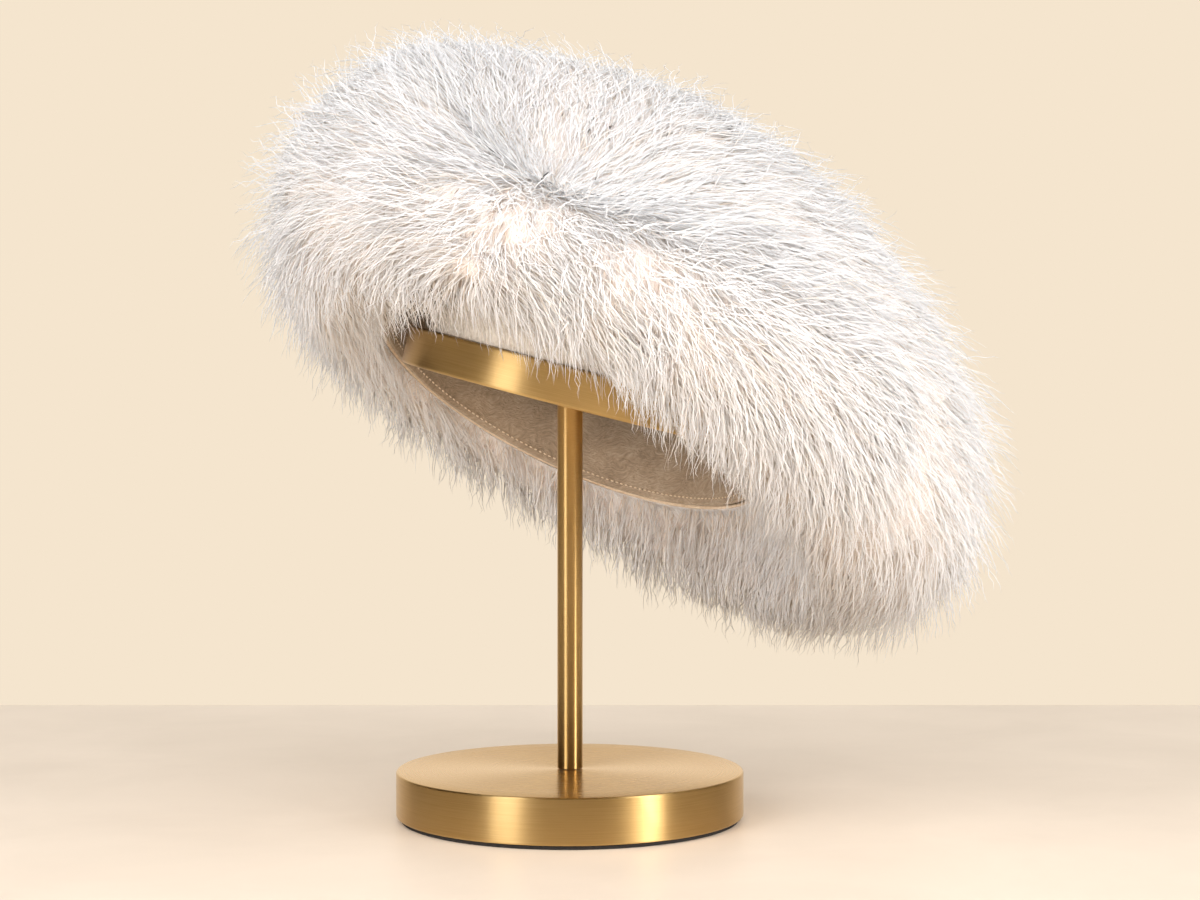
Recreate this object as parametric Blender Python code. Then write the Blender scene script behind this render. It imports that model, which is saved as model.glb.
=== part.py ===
"""A fur beret resting tilted on a brushed brass table stand.

Metres, +Z up, the viewer looks along +Y. The origin is the middle of the stand's foot,
on the surface that the stand rests on. "Near" is the viewer's side, -Y.
"""
import math
from collections import namedtuple

import bmesh
import bpy
import numpy as np
from mathutils import Matrix, Vector
from mathutils.bvhtree import BVHTree

MM = 0.001
GAP = 0.3 * MM
MERGE_DISTANCE = 0.001 * MM

# Stand: a dark pad, a heavy round base, a thin post and a tilted round head
PAD_DIAMETER = 146.0 * MM
PAD_THICKNESS = 1.5 * MM
BASE_DIAMETER = 150.0 * MM
BASE_TOP = 21.0 * MM
BASE_CHAMFER = 0.8 * MM
POST_DIAMETER = 11.0 * MM
HEAD_CENTRE = Vector((-1.0, 0.0, 179.0)) * MM
HEAD_RADIUS = 74.0 * MM
HEAD_HEIGHT = 16.0 * MM
HEAD_CHAMFER = 1.6 * MM
HEAD_ROLL = 14.4
HEAD_PITCH = 2.2
DOME_RADIUS = 66.0 * MM
DOME_STEPS = 7
DOME_SIDES = 36
DOME_TOLERANCE = 0.02 * MM
ROUND_SIDES = 64
HEAD_SIDES = 48
POST_SIDES = 24

# Opening of the beret: a 57 cm head, tilted down on the right and up on the near side
OPENING_CENTRE = Vector((0.0, 0.0, 179.4)) * MM
OPENING_RADIUS = 90.0 * MM
OPENING_ROLL = 24.9
OPENING_PITCH = -18.8
BAND_HEIGHT = 32.0 * MM
BAND_WALL = 1.8 * MM
BAND_HEM_HEIGHT = 5.0 * MM
BAND_HEM_EXTRA = 0.8 * MM
BAND_SIDES = 48

# The crown's hem ends this far outside the band, which brings its inner face up to the band
HEM_OUTSET = 2.2 * MM

# Crown: a leather wall carried through closed sections, from the hem to the whorl. A seam
# round the rim joins its underside to its top
WALL = 2.6 * MM
CROWN_COLUMNS = 36
CROWN_ROWS = 13
SEAM_ROW = 5
SLOPE_STEP = 1e-3

# One row a section, in millimetres. Left and right are the section's ends seen from the
# front, near and far are its ends seen from the side. far_shift moves the far end along X
# and the near end the other way. fur_depth is how far the dense fur stands off the wall.
Section = namedtuple(
    "Section",
    "left_x left_z right_x right_z near_y near_z far_y far_z far_shift fur_depth",
)
CROWN_SECTIONS = [
    Section(-95, 233, 122, 114, -98, 209, 109, 150, -12, 24),
    Section(-102, 248, 147, 123, -107, 215, 128, 178, -6, 27),
    Section(-96, 280, 144, 177, -108, 223, 124, 232, 0, 27),
    Section(-70, 304, 105, 241, -99, 232, 86, 297, 0, 26),
    Section(-44, 288, 49, 268, -87, 241, 14, 306, 0, 24),
    Section(-9, 250, -9, 250, -72, 250, -72, 250, 0, 24),
]
HEM_FUR_DEPTH = 21

# Round the whorl the fur lies flatter, by this share at the whorl and over this reach
WHORL_LIE = 0.55
WHORL_REACH = 45.0 * MM

# Fur: locks that shingle away from the whorl over a thick underfur
UNDERFUR_SHARE = 0.45
LOCK_OVERHANG = 0.62
LOCK_SHOULDER = 0.62
LOCK_ROOT_LIFT = 0.12
LOCK_NARROWING = 0.16
LOCK_SET_BACK = 0.1
LOCK_SWAY = 0.22
LOCK_SEED = 11


def srgb(hex_code):
    """Linear RGBA of a six-digit sRGB hex code."""
    channels = [int(hex_code[i:i + 2], 16) / 255 for i in (0, 2, 4)]
    linear = [c / 12.92 if c <= 0.04045 else ((c + 0.055) / 1.055) ** 2.4 for c in channels]
    return (*linear, 1.0)


def finish(name, hex_code, metallic, roughness):
    material = bpy.data.materials.new(name)
    material.use_nodes = True
    shader = material.node_tree.nodes["Principled BSDF"]
    shader.inputs["Base Color"].default_value = srgb(hex_code)
    shader.inputs["Metallic"].default_value = metallic
    shader.inputs["Roughness"].default_value = roughness
    return material


def tilt(roll, pitch):
    """Turn that rolls the +X side down and pitches the far side up, in degrees."""
    return Matrix.Rotation(math.radians(roll), 3, "Y") @ Matrix.Rotation(math.radians(pitch), 3, "X")


def add_object(name, points, faces, material, sharp_angle=30.0):
    mesh = bpy.data.meshes.new(name)
    mesh.from_pydata([tuple(point) for point in points], [], faces)
    mesh.validate()
    mesh.shade_smooth()
    mesh.set_sharp_from_angle(angle=math.radians(sharp_angle))
    mesh.materials.append(material)
    piece = bpy.data.objects.new(name, mesh)
    bpy.context.scene.collection.objects.link(piece)
    return piece


def turned(profile, sides, closed=False):
    """Points and faces of a profile of (radius, height) points spun round the Z axis."""
    shape = bmesh.new()
    corners = [shape.verts.new((radius, 0, height)) for radius, height in profile]
    for first, second in zip(corners, corners[1:]):
        shape.edges.new((first, second))
    if closed:
        shape.edges.new((corners[-1], corners[0]))
    bmesh.ops.spin(
        shape,
        geom=shape.verts[:] + shape.edges[:],
        cent=(0, 0, 0),
        axis=(0, 0, 1),
        angle=2 * math.pi,
        steps=sides,
        use_merge=True,
    )
    bmesh.ops.remove_doubles(shape, verts=shape.verts[:], dist=MERGE_DISTANCE)
    bmesh.ops.recalc_face_normals(shape, faces=shape.faces[:])
    shape.verts.index_update()
    points = [corner.co.copy() for corner in shape.verts]
    faces = [[corner.index for corner in face.verts] for face in shape.faces]
    shape.free()
    return points, faces


def make_base(brass, rubber):
    """Pad and base disc: the base keeps a small bright chamfer round its top edge."""
    pad_radius = PAD_DIAMETER / 2
    pad = [(0, 0), (pad_radius, 0), (pad_radius, PAD_THICKNESS), (0, PAD_THICKNESS)]
    add_object("base_pad", *turned(pad, ROUND_SIDES), rubber)

    radius = BASE_DIAMETER / 2
    bottom = PAD_THICKNESS + GAP
    disc = [
        (0, bottom),
        (radius - BASE_CHAMFER, bottom),
        (radius, bottom + BASE_CHAMFER),
        (radius, BASE_TOP - BASE_CHAMFER),
        (radius - BASE_CHAMFER, BASE_TOP),
        (0, BASE_TOP),
    ]
    add_object("base_disc", *turned(disc, ROUND_SIDES), brass)


def make_post(brass):
    """Post whose top is cut on the slant, to seat under the tilted head."""
    radius = POST_DIAMETER / 2
    bottom = BASE_TOP + GAP
    top = HEAD_CENTRE.z
    profile = [(0, bottom), (radius, bottom), (radius, top), (0, top)]
    points, faces = turned(profile, POST_SIDES)
    normal = tilt(HEAD_ROLL, HEAD_PITCH) @ Vector((0, 0, 1))
    for point in points:
        if point.z > (bottom + top) / 2:
            beside = point - HEAD_CENTRE
            plane = top - (normal.x * beside.x + normal.y * beside.y) / normal.z
            point.z = plane - GAP / normal.z
    add_object("post", points, faces, brass)


def on_head(points):
    turn = tilt(HEAD_ROLL, HEAD_PITCH)
    return [HEAD_CENTRE + turn @ point for point in points]


def make_head_disc(brass):
    """Tilted round head with a small chamfer round both edges."""
    profile = [
        (0, 0),
        (HEAD_RADIUS - HEAD_CHAMFER, 0),
        (HEAD_RADIUS, HEAD_CHAMFER),
        (HEAD_RADIUS, HEAD_HEIGHT - HEAD_CHAMFER),
        (HEAD_RADIUS - HEAD_CHAMFER, HEAD_HEIGHT),
        (0, HEAD_HEIGHT),
    ]
    points, faces = turned(profile, HEAD_SIDES)
    add_object("head_disc", on_head(points), faces, brass)


def dome(height):
    """Points and faces of a half egg of this height, standing on the head disc."""
    bottom = HEAD_HEIGHT + GAP
    profile = [(0, bottom)]
    for step in range(DOME_STEPS):
        angle = 0.5 * math.pi * step / DOME_STEPS
        profile.append((DOME_RADIUS * math.cos(angle), bottom + height * math.sin(angle)))
    profile.append((0, bottom + height))
    points, faces = turned(profile, DOME_SIDES)
    return on_head(points), faces


def clearance(wall, points, faces):
    """Least distance between the dome and the crown wall, measured from both."""
    dome_tree = BVHTree.FromPolygons(points, faces)
    wall_tree, wall_points = wall
    from_dome = min(wall_tree.find_nearest(point)[3] for point in points)
    from_wall = min(dome_tree.find_nearest(point)[3] for point in wall_points)
    return min(from_dome, from_wall)


def make_head_form(foam, crown_top):
    """Hidden dome on the head disc, as high as the crown allows, that carries the beret."""
    graph = bpy.context.evaluated_depsgraph_get()
    hollow = crown_top.evaluated_get(graph)
    wall = (BVHTree.FromObject(hollow, graph), [corner.co.copy() for corner in hollow.data.vertices])
    low = 0.0
    high = 2 * HEAD_RADIUS
    while high - low > DOME_TOLERANCE:
        middle = (low + high) / 2
        if clearance(wall, *dome(middle)) > GAP:
            low = middle
        else:
            high = middle
    add_object("head_form", *dome(low), foam)


def make_sweatband(suede):
    """Thin band round the head opening, with its hem folded inwards at the bottom."""
    outer = OPENING_RADIUS
    inner = OPENING_RADIUS - BAND_WALL
    folded = inner - BAND_HEM_EXTRA
    profile = [
        (outer, 0),
        (outer, BAND_HEIGHT),
        (inner, BAND_HEIGHT),
        (inner, BAND_HEM_HEIGHT + BAND_HEM_EXTRA),
        (folded, BAND_HEM_HEIGHT),
        (folded, BAND_HEM_EXTRA),
        (folded + BAND_HEM_EXTRA, 0),
    ]
    turn = tilt(OPENING_ROLL, OPENING_PITCH)
    points, faces = turned(profile, BAND_SIDES, closed=True)
    add_object("sweatband", [OPENING_CENTRE + turn @ point for point in points], faces, suede)


def unit(vectors):
    return vectors / np.linalg.norm(vectors, axis=-1, keepdims=True)


def hem_section():
    """Section at the hem: a circle just outside the sweatband, given by its four ends."""
    turn = tilt(OPENING_ROLL, OPENING_PITCH)
    radius = OPENING_RADIUS + HEM_OUTSET
    centre = OPENING_CENTRE / MM
    right = turn @ Vector((radius, 0, 0)) / MM
    far = turn @ Vector((0, radius, 0)) / MM
    return Section(
        centre.x - right.x, centre.z - right.z, centre.x + right.x, centre.z + right.z,
        centre.y - far.y, centre.z - far.z, centre.y + far.y, centre.z + far.z,
        far.x, HEM_FUR_DEPTH,
    )


def sections_at(steps):
    """Smooth sections at places along the table, 0 at the hem and 6 at the whorl."""
    table = np.array([hem_section(), *CROWN_SECTIONS], dtype=float)
    slope = np.gradient(table, axis=0)
    places = np.asarray(steps, dtype=float)
    low = np.minimum(places.astype(int), len(table) - 2)
    t = (places - low)[:, None]
    return (
        (2 * t ** 3 - 3 * t ** 2 + 1) * table[low]
        + (t ** 3 - 2 * t ** 2 + t) * slope[low]
        + (3 * t ** 2 - 2 * t ** 3) * table[low + 1]
        + (t ** 3 - t ** 2) * slope[low + 1]
    )


def section_points(section, angles):
    """Points round one section, in metres: an oval whose four ends have their own height."""
    row = Section(*section)
    across = np.cos(angles)
    along = np.sin(angles)
    x = (row.left_x + row.right_x) / 2 + (row.right_x - row.left_x) / 2 * across
    y = (row.near_y + row.far_y) / 2 + (row.far_y - row.near_y) / 2 * along
    sides = row.left_z + row.right_z
    ends = row.near_z + row.far_z
    z = (
        (sides + ends) / 4
        + (row.right_z - row.left_z) / 2 * across
        + (row.far_z - row.near_z) / 2 * along
        + (sides - ends) / 4 * np.cos(2 * angles)
    )
    return np.stack([x + row.far_shift * along, y, z], axis=-1) * MM


def crown_grid(twist):
    """Points and outward normals of the wall by row. Each row is turned on by twist columns."""
    steps = np.linspace(0, len(CROWN_SECTIONS), CROWN_ROWS + 1)[:-1]
    sections = sections_at(steps)
    points = []
    normals = []
    for row, place in enumerate(steps):
        columns = np.arange(CROWN_COLUMNS) + twist * row
        angles = 2 * math.pi * columns / CROWN_COLUMNS
        here = section_points(sections[row], angles)
        up = section_points(sections_at([place + SLOPE_STEP])[0], angles) - here
        along = section_points(sections[row], angles + SLOPE_STEP) - here
        points.append(here)
        normals.append(unit(np.cross(along, up)))
    return np.array(points), np.array(normals)


def fur_depths(points):
    """How far the dense fur stands off the wall at each point of the grid."""
    steps = np.linspace(0, len(CROWN_SECTIONS), CROWN_ROWS + 1)[:-1]
    full = sections_at(steps)[:, -1][:, None] * MM
    distance = np.linalg.norm(points - whorl()[0], axis=-1)
    return full * (1 - WHORL_LIE * np.exp(-(distance / WHORL_REACH) ** 2))


def whorl():
    """Point and outward direction of the wall at the whorl."""
    last = CROWN_SECTIONS[-1]
    point = np.array([last.left_x, last.near_y, last.left_z]) * MM
    ring = section_points(CROWN_SECTIONS[-2], np.arange(4) * math.pi / 2)
    return point, unit(np.cross(ring[0] - ring[2], ring[1] - ring[3]))


def grid_faces(first, rows, outward=True):
    """Triangle pairs between rows of points, split the same way on every skin."""
    faces = []
    for row in range(rows - 1):
        for column in range(CROWN_COLUMNS):
            after = (column + 1) % CROWN_COLUMNS
            low = first + row * CROWN_COLUMNS
            high = low + CROWN_COLUMNS
            faces.append((low + column, low + after, high + after))
            faces.append((low + column, high + after, high + column))
    return faces if outward else [face[::-1] for face in faces]


def fan_faces(first, apex, outward=True):
    """Triangles from the row of points that starts at first up to the apex."""
    columns = range(CROWN_COLUMNS)
    faces = [(first + column, first + (column + 1) % CROWN_COLUMNS, apex) for column in columns]
    return faces if outward else [face[::-1] for face in faces]


def rim_faces(outer, inner, outward=True):
    """Triangle pairs across the edge of a wall, from its outer row to its inner row."""
    faces = []
    for column in range(CROWN_COLUMNS):
        after = (column + 1) % CROWN_COLUMNS
        faces.append((outer + column, inner + after, outer + after))
        faces.append((outer + column, inner + column, inner + after))
    return faces if outward else [face[::-1] for face in faces]


def make_crown_under(outer, inner, suede):
    """Underside of the crown: a wall between two skins, open at the hem and at the seam."""
    rows = len(outer)
    size = rows * CROWN_COLUMNS
    last = size - CROWN_COLUMNS
    faces = grid_faces(0, rows) + grid_faces(size, rows, outward=False)
    faces += rim_faces(0, size) + rim_faces(last, size + last, outward=False)
    corners = [*outer.reshape(-1, 3), *inner.reshape(-1, 3)]
    add_object("crown_under", corners, faces, suede)


def make_crown_top(outer, inner, suede):
    """Top of the crown: a wall between two skins, from the seam up to the whorl."""
    outer = outer.copy()
    inner = inner.copy()
    for skin in (outer, inner):
        skin[0] += unit(skin[1] - skin[0]) * GAP
    tip, tip_normal = whorl()
    rows = len(outer)
    size = rows * CROWN_COLUMNS
    last = size - CROWN_COLUMNS
    first_inner = size + 1
    faces = grid_faces(0, rows) + grid_faces(first_inner, rows, outward=False)
    faces += fan_faces(last, size) + fan_faces(first_inner + last, first_inner + size, outward=False)
    faces += rim_faces(0, first_inner)
    corners = [*outer.reshape(-1, 3), tip, *inner.reshape(-1, 3), tip - tip_normal * WALL]
    return add_object("crown_top", corners, faces, suede)


def make_crown(suede):
    """Hollow crown of leather: an underside and a top that meet at the rim seam."""
    outer, normals = crown_grid(twist=0)
    inner = outer - normals * WALL
    make_crown_under(outer[:SEAM_ROW + 1], inner[:SEAM_ROW + 1], suede)
    return make_crown_top(outer[SEAM_ROW:], inner[SEAM_ROW:], suede)


def lock_points(base, normals, depth, row, column, sway):
    """Four shoulder points and the tip of one lock, which leans down its row of shingles."""
    after = (column + 1) % CROWN_COLUMNS
    down_left = base[row, column]
    down_right = base[row, after]
    up_right = base[row + 1, after]
    up_left = base[row + 1, column]
    out = unit(normals[row, column] + normals[row, after])
    height = (depth[row, column] + depth[row, after]) / 2 * (1 - UNDERFUR_SHARE)
    middle = (down_left + down_right) / 2
    across = down_right - down_left
    flow = middle - (up_left + up_right) / 2
    shoulder_lift = out * height * LOCK_SHOULDER
    root_lift = out * height * LOCK_ROOT_LIFT
    return [
        down_left + across * LOCK_NARROWING + shoulder_lift,
        down_right - across * LOCK_NARROWING + shoulder_lift,
        up_right + (up_left - up_right) * LOCK_NARROWING + flow * LOCK_SET_BACK + root_lift,
        up_left + (up_right - up_left) * LOCK_NARROWING + flow * LOCK_SET_BACK + root_lift,
        middle + flow * LOCK_OVERHANG + across * sway + out * height,
    ]


def make_fur(fur):
    """Backing that follows the wall outside, fused with rows of pointed locks."""
    rng = np.random.default_rng(LOCK_SEED)
    wall, wall_normals = crown_grid(twist=0)
    inner = (wall + wall_normals * GAP).reshape(-1, 3)
    tip, tip_normal = whorl()
    points, normals = crown_grid(twist=0.5)
    depth = fur_depths(points)
    base = points + normals * (depth * UNDERFUR_SHARE)[..., None]
    whorl_depth = CROWN_SECTIONS[-1].fur_depth * MM * (1 - WHORL_LIE) * UNDERFUR_SHARE
    size = len(inner)
    corners = list(base.reshape(-1, 3))
    corners.append(tip + tip_normal * whorl_depth)
    corners += list(inner)
    corners.append(tip + tip_normal * GAP)
    faces = []
    for row in range(CROWN_ROWS - 1):
        for column in range(CROWN_COLUMNS):
            after = (column + 1) % CROWN_COLUMNS
            low = row * CROWN_COLUMNS
            high = low + CROWN_COLUMNS
            root = (low + column, low + after, high + after, high + column)
            first = len(corners)
            sway = rng.uniform(-LOCK_SWAY, LOCK_SWAY)
            corners += lock_points(base, normals, depth, row, column, sway)
            lock_tip = first + 4
            for side in range(4):
                turn = (side + 1) % 4
                faces.append((root[side], root[turn], first + turn, first + side))
                faces.append((first + side, first + turn, lock_tip))
    top = (CROWN_ROWS - 1) * CROWN_COLUMNS
    faces += fan_faces(top, size)
    faces += grid_faces(size + 1, CROWN_ROWS, outward=False)
    faces += fan_faces(size + 1 + top, 2 * size + 1, outward=False)
    faces += rim_faces(0, size + 1)
    add_object("fur", corners, faces, fur, sharp_angle=60.0)


def main():
    for old in list(bpy.data.objects):
        bpy.data.objects.remove(old)
    brass = finish("brushed_brass", "B08D4E", 1.0, 0.34)
    rubber = finish("black_rubber", "1E1C1A", 0.0, 0.8)
    foam = finish("pale_foam", "E3DCCF", 0.0, 0.95)
    suede = finish("beige_suede", "CDB59B", 0.0, 0.9)
    fur = finish("white_fur", "EEE7E1", 0.0, 0.85)
    make_base(brass, rubber)
    make_post(brass)
    make_head_disc(brass)
    make_head_form(foam, make_crown(suede))
    make_sweatband(suede)
    make_fur(fur)


main()
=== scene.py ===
"""The looks of a deep-fur beret that rests tilted on its brushed brass stand.

Metres, +Z up, the viewer looks along +Y. Angles round the beret run from 0 on the viewer's
right, so -90 degrees is the near side, which faces the viewer.
"""
import math
from collections import namedtuple

import bmesh
import bpy
import numpy as np
from mathutils import Matrix, Vector
from mathutils.bvhtree import BVHTree
from mathutils.kdtree import KDTree


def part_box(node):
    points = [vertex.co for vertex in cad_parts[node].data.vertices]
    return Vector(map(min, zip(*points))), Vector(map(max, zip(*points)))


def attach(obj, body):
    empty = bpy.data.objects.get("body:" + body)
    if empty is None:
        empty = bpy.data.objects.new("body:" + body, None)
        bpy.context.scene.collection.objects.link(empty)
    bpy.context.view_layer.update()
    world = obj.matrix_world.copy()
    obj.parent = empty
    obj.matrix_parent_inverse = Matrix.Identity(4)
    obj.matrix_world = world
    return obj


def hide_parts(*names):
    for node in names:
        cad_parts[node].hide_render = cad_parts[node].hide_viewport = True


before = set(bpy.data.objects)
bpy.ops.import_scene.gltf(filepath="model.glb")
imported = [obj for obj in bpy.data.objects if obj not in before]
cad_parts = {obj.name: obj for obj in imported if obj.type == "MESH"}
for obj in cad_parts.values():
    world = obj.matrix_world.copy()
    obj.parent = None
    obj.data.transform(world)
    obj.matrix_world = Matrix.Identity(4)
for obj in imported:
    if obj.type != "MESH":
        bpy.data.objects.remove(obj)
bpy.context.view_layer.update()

MM = 0.001
FULL_TURN = 2 * math.pi

# Camera: level, in front of the stand
CAMERA_PLACE = (0.0130, -0.877, 0.159)
CAMERA_LENS = 60.7
SENSOR_WIDTH = 36.0
WALL_FOOT_Y = 0.384

# Stand
HEAD_CENTRE = Vector((-1.0, 0.0, 179.0)) * MM
HEAD_RADIUS = 74.0 * MM
HEAD_HEIGHT = 16.0 * MM
HEAD_ROLL = 14.4
HEAD_PITCH = 2.2
DOME_RADIUS = 66.0 * MM
RIM_BEVEL = 0.9 * MM
HEAD_BEVEL = 1.3 * MM
POST_BEVEL = 0.35 * MM
PAD_BEVEL = 0.25 * MM
TOP_RINGS = 6
TOP_RING_WIDTH = 11.0 * MM
DISC_SIDES = 192
POST_SIDES = 64

# Head opening of the beret, and the suede band inside it
OPENING_CENTRE = Vector((0.0, 0.0, 179.4)) * MM
OPENING_RADIUS = 90.0 * MM
OPENING_ROLL = 24.9
OPENING_PITCH = -18.8
BAND_HEIGHT = 37.0 * MM
BAND_WALL = 1.8 * MM
BAND_SIDES = 160
BAND_HEM_HEIGHT = 5.0 * MM
BAND_HEM_EXTRA = 0.8 * MM
BAND_BEVEL = 0.45 * MM
STITCH_SPACING = 2.5 * MM
STITCH_HEIGHT = 2.6 * MM
STITCH_LENGTH = 1.7 * MM
STITCH_WIDTH = 0.8 * MM

# Pelt: the leather wall's outer face, carried through closed sections from hem to whorl.
# The values are the construction's own, in millimetres.
HEM_OUTSET = 2.2 * MM
LEATHER = 2.6 * MM
CLEARANCE = 0.3 * MM
Section = namedtuple(
    "Section",
    "left_x left_z right_x right_z near_y near_z far_y far_z far_shift fur_depth",
)
PELT_SECTIONS = [
    Section(-95, 233, 122, 114, -98, 209, 109, 150, -12, 24),
    Section(-102, 248, 147, 123, -107, 215, 128, 178, -6, 27),
    Section(-96, 280, 144, 177, -108, 223, 124, 232, 0, 27),
    Section(-70, 304, 105, 241, -99, 232, 86, 297, 0, 26),
    Section(-44, 288, 49, 268, -87, 241, 14, 306, 0, 24),
    Section(-9, 250, -9, 250, -72, 250, -72, 250, 0, 24),
]
HEM_FUR_DEPTH = 21
HEM = 0.0
SEAM = 30 / 13
SEAM_GAP = 0.01
WHORL = float(len(PELT_SECTIONS))
# The fur is lower by this share at the whorl, and this far round it
WHORL_LIE = 0.40
WHORL_REACH = 45.0 * MM
# Small moves along and round the pelt that measure the slope of the leather and the underfur
SLOPE_STEP = 1e-3
SKIN_STEP = 0.03

# Underfur skin, which carries the hairs: its height as a share of the fur's depth
UNDERFUR_SHARE = 0.82
UNDERFUR_HEM_SHARE = 0.03
UNDERFUR_FULL_AT = 0.9
LUMP_HEIGHT = 0.5 * MM
LUMPS_FULL_AT = 0.5
UNDERFUR_ROWS = 110
UNDERFUR_COLUMNS = 210
INNER_ROWS = 16
LEATHER_ROWS = 20
LEATHER_COLUMNS = 90

# Way of the hairs: they hang at the hem, and turn to lie away from the whorl over this stretch
HANGING = 0.75
TURN_START = 1.2
TURN_LENGTH = 1.6
# Place along the pelt where the underside's hairs end and the other regions' begin
UNDERSIDE_TOP = 1.3
# Least height of a hair above the underfur at its root, and what is added towards its tip
ROOT_CLEARANCE = 0.6 * MM
TIP_CLEARANCE = 2.4 * MM
# Powers of the share of its length with which a hair lifts and bends under its weight
LIFT_CURVE = 1.5
DROOP_CURVE = 1.3

# Locks that the hairs gather into: slow changes over the pelt, and each lock's own spread
LOCK_COUNT = 5200
LOCK_SHARES = np.linspace(0, 1, 9)
LOCK_SWAY = 0.22
LOCK_LEAN = 0.12
LOCK_REACH = 0.1
LOCK_SPREAD = 0.10
LOCK_LENGTHS = (0.86, 1.1)
GATHER_CURVE = 1.5

# Single hairs: ranges that each hair's own value is drawn from, as shares of the usual one
HAIR_LENGTHS = (0.78, 1.04)
HAIR_WIDTHS = (0.7, 1.2)
HAIR_DROOPS = (0.7, 1.3)
HAIR_RISES = (0.4, 1.0)
HAIR_CRIMPS = (0.3, 1.2)
# How much the slow changes alter the length, where the crimp starts and how much of it goes up
# and down, how much thinner the tip is, how far the shading follows the skin's instead of the
# hair's own, and which share of the shades, from the beige end, the underside's hairs have,
# which paints shade on the underside
HAIR_REACH = 0.06
CRIMP_START = 0.15
CRIMP_LIFT = 0.6
HAIR_TAPER = 0.62
SOFTNESS = 0.75
UNDERSIDE_PAINTED_SHADE = 0.25

# Free hairs stand out of their lock: more sway, less lean, a longer and higher tip
FREE_SWAY = 1.5
FREE_LEAN = 0.28
FREE_LENGTH = 1.2
FREE_RISE = 2.5
FREE_PULL = 0.1

# A coat's hairs have their points at these shares of their length. Width, crimp and the wave's
# length are in mm, sway and lean are spreads in radians, pull is how far a hair goes to its
# lock, free is the share of free hairs, and reach and rise scale the lie's length and rise.
Coat = namedtuple("Coat", "shares width reach sway lean pull free crimp wave rise")
BASE_COAT = Coat(
    shares=(0.02, 0.3, 0.55, 0.79, 1.0), width=0.56, reach=0.92, sway=0.38, lean=0.12,
    pull=(0.1, 0.6), free=0.2, crimp=1.2, wave=(12, 18), rise=0.35,
)
TOP_COAT = Coat(
    shares=(0.02, 0.2, 0.35, 0.49, 0.63, 0.76, 0.89, 1.0), width=0.43, reach=1.12, sway=0.56,
    lean=0.22, pull=(0.05, 0.5), free=0.5, crimp=2.0, wave=(9, 14), rise=1.0,
)
# Stretch of the pelt over which a coat's own rise comes in, from the hem's free hang
LAID_SPAN = (0.8, 2.2)
# Hairs of the base coat and of the top coat on each region
COUNTS = {
    "near": (4500, 2200), "right": (4500, 2200), "far": (4000, 1700), "left": (4200, 1900),
    "under": (3900, 1400),
}

# How the hairs stand, by place along the pelt: the lean at the root and the tip in degrees
# from the skin's normal, the hair's length in mm, how much of its weight bends the tip, and
# the most that the tip rises above the underfur in mm
Lie = namedtuple("Lie", "step root_lean tip_lean length droop rise")
LIES = [
    Lie(0.0, 36, 58, 22, 1.0, 44),
    Lie(1.0, 34, 58, 24, 0.9, 34),
    Lie(2.0, 32, 60, 29, 0.45, 22),
    Lie(3.0, 34, 70, 34, 0.10, 14),
    Lie(4.0, 46, 80, 34, 0.05, 9),
    Lie(5.0, 56, 86, 28, 0.03, 6),
    Lie(5.6, 48, 78, 20, 0.0, 6),
    Lie(6.0, 26, 52, 14, 0.0, 9),
]

# Studio: the wall's colour, the room's light and the way that most of it comes from, its
# weakest and strongest part, and what polished metal mirrors to the front and to the back
WALL_COLOUR = "F5E5CE"
ROOM_WHITE = (1.0, 0.975, 0.955)
ROOM_HEADING = (0.03, -0.80, -0.60)
ROOM_DARKEST = -0.65
ROOM_LEVELS = (0.4, 3.9)
MIRRORED_STUDIO = [(0.78, "2E200F"), (0.96, "FFF0DC")]
FLOOR_SIZE = (6.0, 4.0)

# Two tall softboxes with a bright card each, and a low one that the brass doesn't mirror. The
# cards only brighten what is mirrored, as the brass needs and the white fur doesn't.
Softbox = namedtuple("Softbox", "name place aim size watts colour lights_surfaces mirrored")
LEFT = (-0.79, -0.91, 0.5)
RIGHT = (0.97, -0.7, 0.5)
MIDDLE = (0, 0, 0.15)
SOFTBOXES = [
    Softbox("key", LEFT, MIDDLE, (0.42, 1.9), 9.4, "F8F8FF", True, True),
    Softbox("fill", RIGHT, MIDDLE, (0.22, 1.9), 6.8, "F8F8FF", True, True),
    Softbox("low", (0.1, -0.6, 0.02), (0.05, 0.05, 0.2), (1.0, 0.35), 4.4, "FFF1E6", True, False),
    Softbox("key_card", LEFT, MIDDLE, (0.42, 1.9), 6.0, "FFFBF2", False, True),
    Softbox("fill_card", RIGHT, MIDDLE, (0.22, 1.9), 15.0, "FFFBF2", False, True),
]


def srgb(hex_code):
    """Linear RGBA of a six-digit sRGB hex code."""
    channels = [int(hex_code[i:i + 2], 16) / 255 for i in (0, 2, 4)]
    linear = [c / 12.92 if c <= 0.04045 else ((c + 0.055) / 1.055) ** 2.4 for c in channels]
    return (*linear, 1.0)


def tilt(roll, pitch):
    """Turn that rolls the +X side down and pitches the far side up, in degrees."""
    return Matrix.Rotation(math.radians(roll), 3, "Y") @ Matrix.Rotation(math.radians(pitch), 3, "X")


def add_node(tree, kind, settings=None, inputs=None, stops=()):
    """New node. inputs maps a socket's name or number to a value or to another node's socket,
    and stops are the (place, hex code) pairs of a colour ramp."""
    node = tree.nodes.new(kind)
    for key, value in (settings or {}).items():
        setattr(node, key, value)
    for key, value in (inputs or {}).items():
        if isinstance(value, bpy.types.NodeSocket):
            tree.links.new(value, node.inputs[key])
        else:
            node.inputs[key].default_value = value
    for number, (place, hex_code) in enumerate(stops):
        if number == len(node.color_ramp.elements):
            node.color_ramp.elements.new(1.0)
        node.color_ramp.elements[number].position = place
        node.color_ramp.elements[number].color = srgb(hex_code)
    return node


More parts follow.
